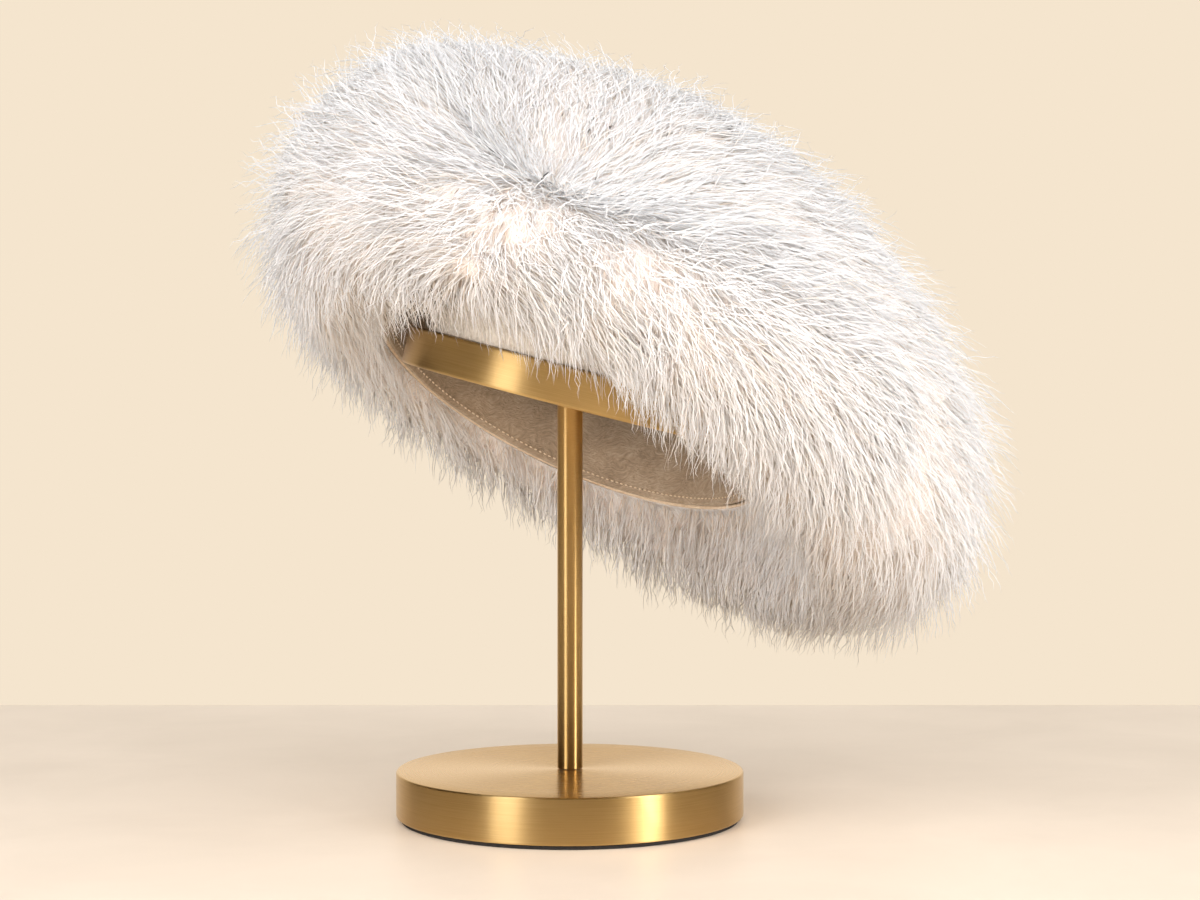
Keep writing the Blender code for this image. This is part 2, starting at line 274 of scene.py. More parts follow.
def new_material(name, **inputs):
    """Material whose Principled shader starts from these values."""
    material = bpy.data.materials.new(name)
    material.use_nodes = True
    shader = material.node_tree.nodes["Principled BSDF"]
    for key, value in inputs.items():
        shader.inputs[key.replace("_", " ")].default_value = value
    return material, material.node_tree, shader


def feed(tree, shader, **sockets):
    """Links each of these sockets to the shader's input of that name."""
    for key, socket in sockets.items():
        tree.links.new(socket, shader.inputs[key.replace("_", " ")])


def brushed_brass(name, centre=Vector(), turn=Matrix.Identity(3), grain_width=0.35 * MM):
    """Brass turned on a lathe and brushed: fine grain runs round the piece's own axis, which
    draws each light out into a soft streak across the grain."""
    # The quarter turn stretches each highlight across the grain
    material, tree, shader = new_material(name, Metallic=1.0, Anisotropic_Rotation=0.25)
    place = add_node(tree, "ShaderNodeTexCoord").outputs["Object"]
    axis = turn @ Vector((0, 0, 1))
    back = turn.inverted()
    lathe = add_node(
        tree, "ShaderNodeMapping",
        inputs={"Vector": place, "Location": back @ -centre, "Rotation": back.to_euler("XYZ")},
    ).outputs["Vector"]
    flat = add_node(
        tree, "ShaderNodeVectorMath", {"operation": "MULTIPLY"}, {0: lathe, 1: (1, 1, 0)}
    ).outputs["Vector"]
    radius = add_node(
        tree, "ShaderNodeVectorMath", {"operation": "LENGTH"}, {0: flat}
    ).outputs["Value"]
    height = add_node(tree, "ShaderNodeSeparateXYZ", inputs={"Vector": lathe}).outputs["Z"]
    across = add_node(
        tree, "ShaderNodeMath", {"operation": "ADD"}, {0: radius, 1: height}
    ).outputs["Value"]
    along = add_node(
        tree, "ShaderNodeVectorMath", {"operation": "NORMALIZE"}, {0: flat}
    ).outputs["Vector"]
    # Each grain line is about a seventh of a turn long
    turned = add_node(
        tree, "ShaderNodeVectorMath", {"operation": "MULTIPLY"}, {0: along, 1: (2, 2, 0)}
    ).outputs["Vector"]
    lift = add_node(tree, "ShaderNodeCombineXYZ", inputs={"Z": across}).outputs["Vector"]
    grain_place = add_node(
        tree, "ShaderNodeVectorMath", {"operation": "MULTIPLY_ADD"},
        {0: lift, 1: (0, 0, 1 / grain_width), 2: turned},
    ).outputs["Vector"]
    grain = add_node(
        tree, "ShaderNodeTexNoise",
        inputs={"Vector": grain_place, "Scale": 1.0, "Detail": 3.0, "Roughness": 0.65},
    ).outputs["Fac"]
    # Handling has dulled the metal in patches some 36 mm across
    broad = add_node(
        tree, "ShaderNodeTexNoise",
        inputs={"Vector": place, "Scale": 1 / (35.7 * MM), "Detail": 2.0},
    ).outputs["Fac"]
    colour = add_node(
        tree, "ShaderNodeValToRGB", inputs={"Fac": grain}, stops=[(0.3, "D3AF71"), (0.7, "E1C184")]
    ).outputs["Color"]
    patchy = add_node(
        tree, "ShaderNodeMapRange",
        inputs={"Value": broad, "From Min": 0.3, "From Max": 0.7, "To Min": 0.0, "To Max": 0.3},
    ).outputs["Result"]
    tint = add_node(
        tree, "ShaderNodeMix", {"data_type": "RGBA", "blend_type": "MULTIPLY"},
        {"Factor": patchy, "A": colour, "B": srgb("F0E4D0")},
    ).outputs["Result"]
    rough = add_node(
        tree, "ShaderNodeMapRange",
        inputs={"Value": grain, "From Min": 0.25, "From Max": 0.75, "To Min": 0.36, "To Max": 0.45},
    ).outputs["Result"]
    # The flat top is polished after the brushing, so its streaks are shorter than the side's
    facing = add_node(
        tree, "ShaderNodeVectorMath", {"operation": "DOT_PRODUCT"},
        {0: add_node(tree, "ShaderNodeTexCoord").outputs["Normal"], 1: axis},
    ).outputs["Value"]
    flat_share = add_node(
        tree, "ShaderNodeMapRange", inputs={"Value": facing, "From Min": 0.6, "From Max": 0.95}
    ).outputs["Result"]
    streaks = add_node(
        tree, "ShaderNodeMapRange", inputs={"Value": flat_share, "To Min": 1.0, "To Max": 0.75}
    ).outputs["Result"]
    polished = add_node(
        tree, "ShaderNodeMath", {"operation": "MULTIPLY_ADD"}, {0: flat_share, 1: -0.13, 2: rough}
    ).outputs["Value"]
    beside = add_node(
        tree, "ShaderNodeVectorMath", {"operation": "SUBTRACT"}, {0: place, 1: centre}
    ).outputs["Vector"]
    around = add_node(
        tree, "ShaderNodeVectorMath", {"operation": "CROSS_PRODUCT"}, {0: axis, 1: beside}
    ).outputs["Vector"]
    tangent = add_node(
        tree, "ShaderNodeVectorMath", {"operation": "NORMALIZE"}, {0: around}
    ).outputs["Vector"]
    scratches = add_node(
        tree, "ShaderNodeBump", inputs={"Height": grain, "Distance": 0.008 * MM}
    ).outputs["Normal"]
    feed(
        tree, shader, Base_Color=tint, Roughness=polished, Anisotropic=streaks, Tangent=tangent,
        Normal=scratches,
    )
    return material


def grained(name, pattern, output, size, stops, relief, **inputs):
    """Material whose colour and relief both follow one fine pattern of this size."""
    material, tree, shader = new_material(name, **inputs)
    place = add_node(tree, "ShaderNodeTexCoord").outputs["Object"]
    grain = add_node(tree, pattern, inputs={"Vector": place, "Scale": 1 / size}).outputs[output]
    colour = add_node(
        tree, "ShaderNodeValToRGB", inputs={"Fac": grain}, stops=stops
    ).outputs["Color"]
    bumps = add_node(
        tree, "ShaderNodeBump", inputs={"Height": grain, "Distance": relief}
    ).outputs["Normal"]
    feed(tree, shader, Base_Color=colour, Normal=bumps)
    return material


def moulded_rubber():
    """Black rubber pad: matt, with a moulded grain of about a millimetre."""
    return grained(
        "black_rubber_moulded", "ShaderNodeTexNoise", "Fac", 1.11 * MM,
        [(0.3, "171513"), (0.7, "24211E")], 0.05 * MM, Roughness=0.82, IOR=1.52,
    )


def moulded_foam():
    """Pale foam: dry, with open 2 mm cells, which give a soft pitted surface."""
    return grained(
        "pale_foam_moulded", "ShaderNodeTexVoronoi", "Distance", 1.92 * MM,
        [(0.1, "CFC6B6"), (0.6, "E5DED1")], 0.3 * MM, Roughness=0.95, IOR=1.4,
    )


def waxed_thread():
    """Cotton sewing thread, waxed and twisted: slightly paler than the suede it holds."""
    return grained(
        "cotton_thread_twisted", "ShaderNodeTexNoise", "Fac", 0.385 * MM,
        [(0.3, "C2AD8F"), (0.7, "E6D5BC")], 0.08 * MM, Roughness=0.7, IOR=1.5,
    )


def suede(name, dark, mid, light):
    """Suede, the napped flesh side of leather: short fibres lie in swirls, so it is mottled at
    a finger's width, streaked at a millimetre, and matt with a soft bloom at grazing angles."""
    material, tree, shader = new_material(
        name, Roughness=0.92, IOR=1.45, Sheen_Weight=0.3, Sheen_Roughness=0.5,
        Sheen_Tint=srgb("E4D8C8"),
    )
    place = add_node(tree, "ShaderNodeTexCoord").outputs["Object"]
    # Swirls about 11 mm across bend the nap by up to 12 mm
    drift = add_node(
        tree, "ShaderNodeTexNoise",
        inputs={"Vector": place, "Scale": 1 / (11.1 * MM), "Detail": 1.0},
    ).outputs["Color"]
    bent = add_node(
        tree, "ShaderNodeVectorMath", {"operation": "MULTIPLY_ADD"},
        {0: drift, 1: (12 * MM, 12 * MM, 12 * MM), 2: place},
    ).outputs["Vector"]
    # Nap strokes about 0.7 mm wide and 2.4 mm long
    stroke_scale = (1 / (2.38 * MM), 1 / (2.38 * MM), 1 / (0.714 * MM))
    strokes_place = add_node(
        tree, "ShaderNodeMapping", inputs={"Vector": bent, "Scale": stroke_scale}
    ).outputs["Vector"]
    strokes = add_node(
        tree, "ShaderNodeTexNoise",
        inputs={"Vector": strokes_place, "Scale": 1.0, "Detail": 2.0, "Roughness": 0.6},
    ).outputs["Fac"]
    mottle = add_node(
        tree, "ShaderNodeTexNoise",
        inputs={"Vector": place, "Scale": 1 / (16.7 * MM), "Detail": 3.0},
    ).outputs["Fac"]
    both = add_node(
        tree, "ShaderNodeMix", inputs={"Factor": 0.4, "A": strokes, "B": mottle}
    ).outputs["Result"]
    colour = add_node(
        tree, "ShaderNodeValToRGB", inputs={"Fac": both},
        stops=[(0.34, dark), (0.5, mid), (0.66, light)],
    ).outputs["Color"]
    nap = add_node(
        tree, "ShaderNodeBump", inputs={"Height": strokes, "Distance": 0.4 * MM}
    ).outputs["Normal"]
    feed(tree, shader, Base_Color=colour, Normal=nap)
    return material


def underfur_wool():
    """Dense underfur below the long hairs, with painted shade: its beige darkens where the wisps'
    relief is low and is paler on its ridges, and stands for the shade deep between the hairs as well as
    the wool's own warmer colour. Light spreads some millimetres through it, which softens the shadows
    of the hairs on it."""
    material, tree, shader = new_material(
        "fox_underfur_combed", Roughness=0.9, IOR=1.45, Subsurface_Weight=1.0,
        Subsurface_Radius=(1.0, 0.95, 0.9), Subsurface_Scale=4 * MM,
    )
    combed = add_node(tree, "ShaderNodeUVMap", {"uv_map": "combed"}).outputs["UV"]
    # One wisp is about 0.9 mm wide and 10 mm long on the combed map, whose units are metres
    wisp_place = add_node(
        tree, "ShaderNodeMapping",
        inputs={"Vector": combed, "Scale": (1 / (0.9 * MM), 1 / (10 * MM), 1.0)},
    ).outputs["Vector"]
    wisps = add_node(
        tree, "ShaderNodeTexNoise",
        inputs={"Vector": wisp_place, "Scale": 1.0, "Detail": 3.0, "Roughness": 0.6,
                "Distortion": 0.8},
    ).outputs["Fac"]
    # Painted shade: the ramp darkens the low parts of the wisps' relief to beige and leaves their
    # ridges pale
    colour = add_node(
        tree, "ShaderNodeValToRGB", inputs={"Fac": wisps},
        stops=[(0.34, "E2D3C8"), (0.5, "EEE5DE"), (0.64, "F6F1ED")],
    ).outputs["Color"]
    relief = add_node(
        tree, "ShaderNodeBump", inputs={"Height": wisps, "Distance": 1.4 * MM}
    ).outputs["Normal"]
    feed(tree, shader, Base_Color=colour, Normal=relief)
    return material


def guard_hair():
    """Long white guard hairs: warm white at the tip and beige at the root, which is partly their own
    colour and partly painted shade deep in the coat. Each is a little different, and the underside's
    hairs take the beige end of the tones, which is painted shade under the beret.
    """
    material, tree, shader = new_material(
        "fox_guard_hair_white", Roughness=0.6, IOR=1.55, Specular_IOR_Level=0.3,
        Subsurface_Weight=1.0, Subsurface_Radius=(1.0, 1.0, 1.0), Subsurface_Scale=0.8 * MM,
    )
    hair_map = add_node(tree, "ShaderNodeUVMap", {"uv_map": "OFBake"}).outputs["UV"]
    own = add_node(tree, "ShaderNodeSeparateXYZ", inputs={"Vector": hair_map})
    # Beige towards the root: partly the hair's own colour, partly painted shade deep in the coat
    length_colour = add_node(
        tree, "ShaderNodeValToRGB", inputs={"Fac": own.outputs["X"]},
        stops=[(0.0, "EADBCD"), (0.3, "F8F1EB"), (0.6, "FCFAF9"), (1.0, "FDFCFB")],
    ).outputs["Color"]
    # Each hair's tone, drawn at random; the underside's hairs take only its beige end, which paints
    # shade under the beret
    shade = add_node(
        tree, "ShaderNodeValToRGB", inputs={"Fac": own.outputs["Y"]},
        stops=[(0.0, "EEDFD1"), (0.25, "FCFAF8"), (1.0, "FFFFFF")],
    ).outputs["Color"]
    colour = add_node(
        tree, "ShaderNodeMix", {"data_type": "RGBA", "blend_type": "MULTIPLY"},
        {"Factor": 1.0, "A": length_colour, "B": shade},
    ).outputs["Result"]
    feed(tree, shader, Base_Color=colour)
    return material


def floor_plaster():
    """Pale plaster, trowelled smooth: faint clouds 110 mm across, and low waves of 14 mm."""
    material, tree, shader = new_material("pale_plaster_trowelled", Roughness=0.42, IOR=1.45)
    place = add_node(tree, "ShaderNodeTexCoord").outputs["Object"]
    mottle = add_node(
        tree, "ShaderNodeTexNoise",
        inputs={"Vector": place, "Scale": 1 / (111 * MM), "Detail": 5.0, "Roughness": 0.6,
                "Distortion": 0.4},
    ).outputs["Fac"]
    colour = add_node(
        tree, "ShaderNodeValToRGB", inputs={"Fac": mottle}, stops=[(0.3, "DDCFBD"), (0.7, "E6D8C6")]
    ).outputs["Color"]
    waves = add_node(
        tree, "ShaderNodeTexNoise",
        inputs={"Vector": place, "Scale": 1 / (14.3 * MM), "Detail": 4.0},
    ).outputs["Fac"]
    relief = add_node(
        tree, "ShaderNodeBump", inputs={"Height": waves, "Distance": 0.15 * MM}
    ).outputs["Normal"]
    feed(tree, shader, Base_Color=colour, Normal=relief)
    return material


def finish_piece(piece, name, material, slot, *nodes):
    """Names the piece, gives it its material and lets it stand for these CAD nodes."""
    piece.name = name
    piece.data.name = name
    piece.data.materials.clear()
    piece.data.materials.append(material)
    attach(piece, "root")
    if nodes:
        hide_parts(*nodes)
    return piece


def select_only(piece):
    """Selects this piece and nothing else."""
    bpy.ops.object.select_all(action="DESELECT")
    piece.select_set(True)
    bpy.context.view_layer.objects.active = piece


def apply_modifiers(piece):
    """Makes the piece's modifiers part of its mesh."""
    select_only(piece)
    for modifier in list(piece.modifiers):
        bpy.ops.object.modifier_apply(modifier=modifier.name)


def bake_place(piece, centre=Vector(), turn=Matrix.Identity(3)):
    """Turns and moves the piece's mesh to its place, and leaves its object at the origin."""
    piece.data.transform(Matrix.Translation(centre) @ turn.to_4x4() @ piece.matrix_world)
    piece.matrix_world = Matrix.Identity(4)


def edit_only(piece, kind, chosen):
    """Enters edit mode with only those edges or faces selected for which chosen holds."""
    select_only(piece)
    bpy.ops.object.mode_set(mode="EDIT")
    bpy.ops.mesh.select_mode(type={"edges": "EDGE", "faces": "FACE"}[kind])
    bpy.ops.mesh.select_all(action="DESELECT")
    shape = bmesh.from_edit_mesh(piece.data)
    for element in getattr(shape, kind):
        if chosen(element):
            element.select_set(True)
    bmesh.update_edit_mesh(piece.data)


def on_rim(edge):
    """True for the edges round a cylinder's two ends, between a flat face and its side."""
    level = abs(edge.verts[0].co.z - edge.verts[1].co.z) < 1e-6
    flat = [abs(face.normal.z) > 0.5 for face in edge.link_faces]
    return level and len(flat) == 2 and flat[0] != flat[1]


def turned_disc(radius, low, high, bevel, sides=DISC_SIDES, segments=4):
    """Round disc with small rounded edges, its axis on Z."""
    bpy.ops.object.select_all(action="DESELECT")
    bpy.ops.mesh.primitive_cylinder_add(
        vertices=sides, radius=radius, depth=high - low, location=(0, 0, (low + high) / 2)
    )
    piece = bpy.context.object
    bpy.ops.object.transform_apply()
    edit_only(piece, "edges", on_rim)
    bpy.ops.mesh.bevel(offset=bevel, segments=segments, profile=0.5, affect="EDGES")
    bpy.ops.object.mode_set(mode="OBJECT")
    bpy.ops.object.shade_smooth_by_angle(angle=math.radians(35))
    return piece


def make_base():
    """Heavy turned base on its thin rubber pad. Rings divide the wide flat top."""
    low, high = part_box("base_pad")
    pad = turned_disc(high.x, low.z, high.z, PAD_BEVEL, segments=2)
    finish_piece(pad, "foot_pad", moulded_rubber(), "pad", "base_pad")
    low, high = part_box("base_disc")
    base = turned_disc(high.x, low.z, high.z, RIM_BEVEL)
    edit_only(base, "faces", lambda face: face.normal.z > 0.99)
    for ring in range(TOP_RINGS):
        bpy.ops.mesh.inset(thickness=TOP_RING_WIDTH)
    bpy.ops.object.mode_set(mode="OBJECT")
    finish_piece(base, "base_turning", brushed_brass("brass_base_brushed"), "brass", "base_disc")


def make_post():
    """Post whose top is cut on the slant under the tilted head."""
    low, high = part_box("post")
    post = turned_disc(high.x, low.z, HEAD_CENTRE.z, POST_BEVEL, POST_SIDES)
    normal = tilt(HEAD_ROLL, HEAD_PITCH) @ Vector((0, 0, 1))
    for corner in post.data.vertices:
        if corner.co.z > HEAD_CENTRE.z / 2:
            beside = corner.co - HEAD_CENTRE
            slant = -(normal.x * beside.x + normal.y * beside.y) / normal.z
            corner.co.z += slant - CLEARANCE / normal.z
    brass = brushed_brass("brass_post_brushed", grain_width=0.12 * MM)
    finish_piece(post, "post_rod", brass, "brass", "post")


def make_head():
    """Tilted round head of the stand."""
    turn = tilt(HEAD_ROLL, HEAD_PITCH)
    head = turned_disc(HEAD_RADIUS, 0, HEAD_HEIGHT, HEAD_BEVEL)
    bake_place(head, HEAD_CENTRE, turn)
    brass = brushed_brass("brass_head_brushed", HEAD_CENTRE, turn)
    finish_piece(head, "head_turning", brass, "brass", "head_disc")


def make_dome():
    """Foam dome that carries the crown, out of sight."""
    turn = tilt(HEAD_ROLL, HEAD_PITCH)
    low = HEAD_HEIGHT + CLEARANCE
    upright = turn.inverted()
    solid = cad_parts["head_form"].data
    height = max((upright @ (corner.co - HEAD_CENTRE)).z for corner in solid.vertices) - low
    bpy.ops.object.select_all(action="DESELECT")
    bpy.ops.mesh.primitive_uv_sphere_add(segments=72, ring_count=36, radius=1)
    dome = bpy.context.object
    edit_only(dome, "faces", lambda face: True)
    bpy.ops.mesh.bisect(plane_co=(0, 0, 0), plane_no=(0, 0, 1), clear_inner=True, use_fill=True)
    bpy.ops.object.mode_set(mode="OBJECT")
    dome.data.transform(Matrix.Diagonal((DOME_RADIUS, DOME_RADIUS, height, 1)))
    dome.data.transform(Matrix.Translation((0, 0, low)))
    bpy.ops.object.shade_smooth_by_angle(angle=math.radians(40))
    bake_place(dome, HEAD_CENTRE, turn)
    finish_piece(dome, "foam_dome", moulded_foam(), "form", "head_form")


def make_band():
    """Suede band inside the opening, its lower edge turned in and stitched down."""
    bpy.ops.object.select_all(action="DESELECT")
    bpy.ops.mesh.primitive_cylinder_add(
        vertices=BAND_SIDES, radius=OPENING_RADIUS, depth=BAND_HEIGHT,
        location=(0, 0, BAND_HEIGHT / 2), end_fill_type="NOTHING",
    )
    band = bpy.context.object
    bpy.ops.object.transform_apply()
    edit_only(band, "edges", lambda edge: True)
    bpy.ops.mesh.bisect(plane_co=(0, 0, BAND_HEM_HEIGHT), plane_no=(0, 0, 1), use_fill=False)
    bpy.ops.object.mode_set(mode="OBJECT")
    wall = band.modifiers.new("wall", "SOLIDIFY")
    wall.thickness = BAND_WALL
    wall.offset = -1.0
    apply_modifiers(band)
    inner = OPENING_RADIUS - BAND_WALL / 2
    edit_only(
        band, "faces",
        lambda face: face.calc_center_median().xy.length < inner
        and face.calc_center_median().z < BAND_HEM_HEIGHT and abs(face.normal.z) < 0.5,
    )
    bpy.ops.mesh.extrude_region_shrink_fatten(
        TRANSFORM_OT_shrink_fatten={"value": BAND_HEM_EXTRA, "use_even_offset": True}
    )
    bpy.ops.object.mode_set(mode="OBJECT")
    edges = band.modifiers.new("soft edges", "BEVEL")
    edges.width = BAND_BEVEL
    edges.segments = 3
    edges.limit_method = "ANGLE"
    edges.angle_limit = math.radians(50)
    apply_modifiers(band)
    bpy.ops.object.shade_smooth_by_angle(angle=math.radians(50))
    bake_place(band, OPENING_CENTRE, tilt(OPENING_ROLL, OPENING_PITCH))
    napped = suede("suede_band_napped", "857561", "9B8A75", "B0A08B")
    finish_piece(band, "suede_band", napped, "suede", "sweatband")


def make_stitches():
    """Row of stitches along the band's turned-in edge: one is modelled, the rest are copies."""
    bpy.ops.object.select_all(action="DESELECT")
    bpy.ops.mesh.primitive_uv_sphere_add(segments=6, ring_count=5, radius=1)
    stitch = bpy.context.object
    corners = np.array([corner.co for corner in stitch.data.vertices])
    corners *= (STITCH_WIDTH / 2, STITCH_LENGTH / 2, STITCH_WIDTH / 2)
    faces = [list(face.vertices) for face in stitch.data.polygons]
    bpy.data.objects.remove(stitch)
    radius = OPENING_RADIUS - BAND_WALL - BAND_HEM_EXTRA
    count = round(FULL_TURN * radius / STITCH_SPACING)
    points = []
    all_faces = []
    for number in range(count):
        angle = FULL_TURN * number / count
        turn = np.array(Matrix.Rotation(angle, 3, "Z"))
        place = (radius * math.cos(angle), radius * math.sin(angle), STITCH_HEIGHT)
        points.append(corners @ turn.T + place)
        all_faces += [[corner + number * len(corners) for corner in face] for face in faces]
    stitches = mesh_piece("stitches", np.concatenate(points), all_faces)
    bake_place(stitches, OPENING_CENTRE, tilt(OPENING_ROLL, OPENING_PITCH))
    finish_piece(stitches, "band_stitches", waxed_thread(), "suede")


def mesh_piece(name, points, faces):
    """New smooth piece of these points and faces."""
    mesh = bpy.data.meshes.new(name)
    mesh.from_pydata(points.tolist(), [], faces)
    mesh.shade_smooth()
    piece = bpy.data.objects.new(name, mesh)
    bpy.context.scene.collection.objects.link(piece)
    return piece


def unit(vectors):
    """The same directions at a length of 1."""
    return vectors / np.linalg.norm(vectors, axis=-1, keepdims=True)


def hem_section():
    """Section at the hem, just outside the head opening's circle."""
    turn = tilt(OPENING_ROLL, OPENING_PITCH)
    radius = OPENING_RADIUS + HEM_OUTSET
    centre = OPENING_CENTRE / MM
    right = turn @ Vector((radius, 0, 0)) / MM
    far = turn @ Vector((0, radius, 0)) / MM
    return Section(
        centre.x - right.x, centre.z - right.z, centre.x + right.x, centre.z + right.z,
        centre.y - far.y, centre.z - far.z, centre.y + far.y, centre.z + far.z,
        far.x, HEM_FUR_DEPTH,
    )


def sections_at(steps):
    """Smooth sections at places along the pelt, 0 at the hem and 6 at the whorl."""
    table = np.array([hem_section(), *PELT_SECTIONS], dtype=float)
    slope = np.gradient(table, axis=0)
    low = np.clip(steps.astype(int), 0, len(table) - 2)
    t = (steps - low)[..., None]
    return (
        (2 * t ** 3 - 3 * t ** 2 + 1) * table[low]
        + (t ** 3 - 2 * t ** 2 + t) * slope[low]
        + (3 * t ** 2 - 2 * t ** 3) * table[low + 1]
        + (t ** 3 - t ** 2) * slope[low + 1]
    )


def wall_points(steps, angles):
    """Points on the pelt's leather for arrays of places along it and angles round it."""
    left_x, left_z, right_x, right_z, near_y, near_z, far_y, far_z, far_shift, _ = np.moveaxis(
        sections_at(steps), -1, 0
    )
    across = np.cos(angles)
    along = np.sin(angles)
    x = (left_x + right_x) / 2 + (right_x - left_x) / 2 * across + far_shift * along
    y = (near_y + far_y) / 2 + (far_y - near_y) / 2 * along
    sides = left_z + right_z
    ends = near_z + far_z
    z = (
        (sides + ends) / 4
        + (right_z - left_z) / 2 * across
        + (far_z - near_z) / 2 * along
        + (sides - ends) / 4 * np.cos(2 * angles)
    )
    return np.stack([x, y, z], axis=-1) * MM


Pelt = namedtuple("Pelt", "place normal depth steps angles")
Roots = namedtuple("Roots", "place normal flow side steps")


def measure(surface, steps, angles, move):
    """Places on a surface, its outward normals, and the way from there towards the whorl."""
    place = surface(steps, angles)
    up = surface(steps + move, angles) - place
    along = surface(steps, angles + move) - place
    return place, unit(np.cross(along, up)), up


def whorl_place():
    """Point where the pelt's sections close at the whorl."""
    return wall_points(np.array([WHORL]), np.zeros(1))[0]


def pelt_at(steps, angles):
    """The pelt's leather face, its outward normal and how deep its fur is."""
    steps = np.minimum(steps, WHORL - 2 * SLOPE_STEP)
    place, normal, _ = measure(wall_points, steps, angles, SLOPE_STEP)
    from_whorl = np.linalg.norm(place - whorl_place(), axis=-1)
    depth = sections_at(steps)[..., -1] * MM
    depth = depth * (1 - WHORL_LIE * np.exp(-(from_whorl / WHORL_REACH) ** 2))
    return Pelt(place, normal, depth, steps, angles)


def skin_faces(rows, columns, first, outward=True):
    """Faces of a closed round grid of points, whose first point has this number."""
    faces = []
    for row in range(rows - 1):
        for column in range(columns):
            after = (column + 1) % columns
            low = first + row * columns
            high = low + columns
            faces.append((low + column, low + after, high + after, high + column))
    return faces if outward else [face[::-1] for face in faces]


def closed_skin(name, outer, inner, to_whorl):
    """Closed wall between an outer and an inner skin of as many columns, which meet at the
    lower edge, and at the upper edge or in a cap on each skin at the whorl."""
    columns = outer.shape[1]
    first = outer.shape[0] * columns
    outer_top = first - columns
    inner_top = first + (inner.shape[0] - 1) * columns
    ring = range(columns)
    faces = skin_faces(outer.shape[0], columns, 0)
    faces += skin_faces(inner.shape[0], columns, first, outward=False)
    faces += [(c, first + c, first + (c + 1) % columns, (c + 1) % columns) for c in ring]
    if to_whorl:
        faces.append(tuple(outer_top + c for c in ring))
        faces.append(tuple(inner_top + c for c in reversed(ring)))
    else:
        faces += [
            (outer_top + (c + 1) % columns, inner_top + (c + 1) % columns, inner_top + c, outer_top + c)
            for c in ring
        ]
    return mesh_piece(name, np.concatenate([outer.reshape(-1, 3), inner.reshape(-1, 3)]), faces)


def pelt_grid(start, end, rows, columns):
    """The pelt on a grid of rows along it and columns round it."""
    steps, angles = np.meshgrid(
        np.linspace(start, end, rows), np.arange(columns) * FULL_TURN / columns, indexing="ij"
    )
    return pelt_at(steps, angles)


def make_leather():
    """Leather of the pelt in its two panels, which meet at the seam round the rim."""
    leather = suede("pelt_leather_napped", "BFA587", "D3BCA0", "E2D0B8")
    spans = {"crown_under": (HEM, SEAM), "crown_top": (SEAM + SEAM_GAP, WHORL)}
    for node, (start, end) in spans.items():
        pelt = pelt_grid(start, end, LEATHER_ROWS, LEATHER_COLUMNS)
        inner = pelt.place - pelt.normal * LEATHER
        piece = closed_skin("leather_" + node, pelt.place, inner, to_whorl=end == WHORL)
        finish_piece(piece, "leather_" + node, leather, "suede", node)


def ease(value):
    """Soft step from 0 to 1."""
    value = np.clip(value, 0, 1)
    return value * value * (3 - 2 * value)


def underfur_lift(pelt):
    """Height of the underfur above the leather. It thins out towards the hem."""
    lumps = smooth_field(pelt.place, np.random.default_rng(5), waves=26, low=16, high=40)
    grown = UNDERFUR_HEM_SHARE + (1 - UNDERFUR_HEM_SHARE) * ease(pelt.steps / UNDERFUR_FULL_AT)
    lift = pelt.depth * UNDERFUR_SHARE * grown
    return lift + lumps * LUMP_HEIGHT * ease(pelt.steps / LUMPS_FULL_AT)


def underfur_points(steps, angles):
    """Points on the underfur's outer skin."""
    pelt = pelt_at(steps, angles)
    return pelt.place + pelt.normal * underfur_lift(pelt)[..., None]


def roots_at(steps, angles):
    """Places on the underfur's outer skin, with its normal and the way the hairs lie there."""
    steps = np.minimum(steps, WHORL - 3 * SKIN_STEP)
    place, normal, up = measure(underfur_points, steps, angles, SKIN_STEP)
    radial = place - whorl_place()
    radial -= normal * (radial * normal).sum(-1, keepdims=True)
    # Hairs lie away from the whorl over the crown, and turn down round the rim and to the hem
    turned = np.clip((steps - TURN_START) / TURN_LENGTH, 0, 1)[..., None]
    hanging = unit(-up) * (1 - HANGING) + np.array([0, 0, -1.0]) * HANGING
    flow = unit(radial) * turned + hanging * (1 - turned)
    flow = unit(flow - normal * (flow * normal).sum(-1, keepdims=True))
    return Roots(place, normal, flow, np.cross(normal, flow), steps)


def combed_map(pelt):
    """Distance round and down the pelt at each point of a grid, along which the wool is combed."""
    row_steps = np.linalg.norm(np.diff(pelt.place, axis=0), axis=-1)
    down = np.concatenate([np.zeros((1, row_steps.shape[1])), np.cumsum(row_steps, axis=0)])
    return np.stack([OPENING_RADIUS * pelt.angles, down], axis=-1).reshape(-1, 2)


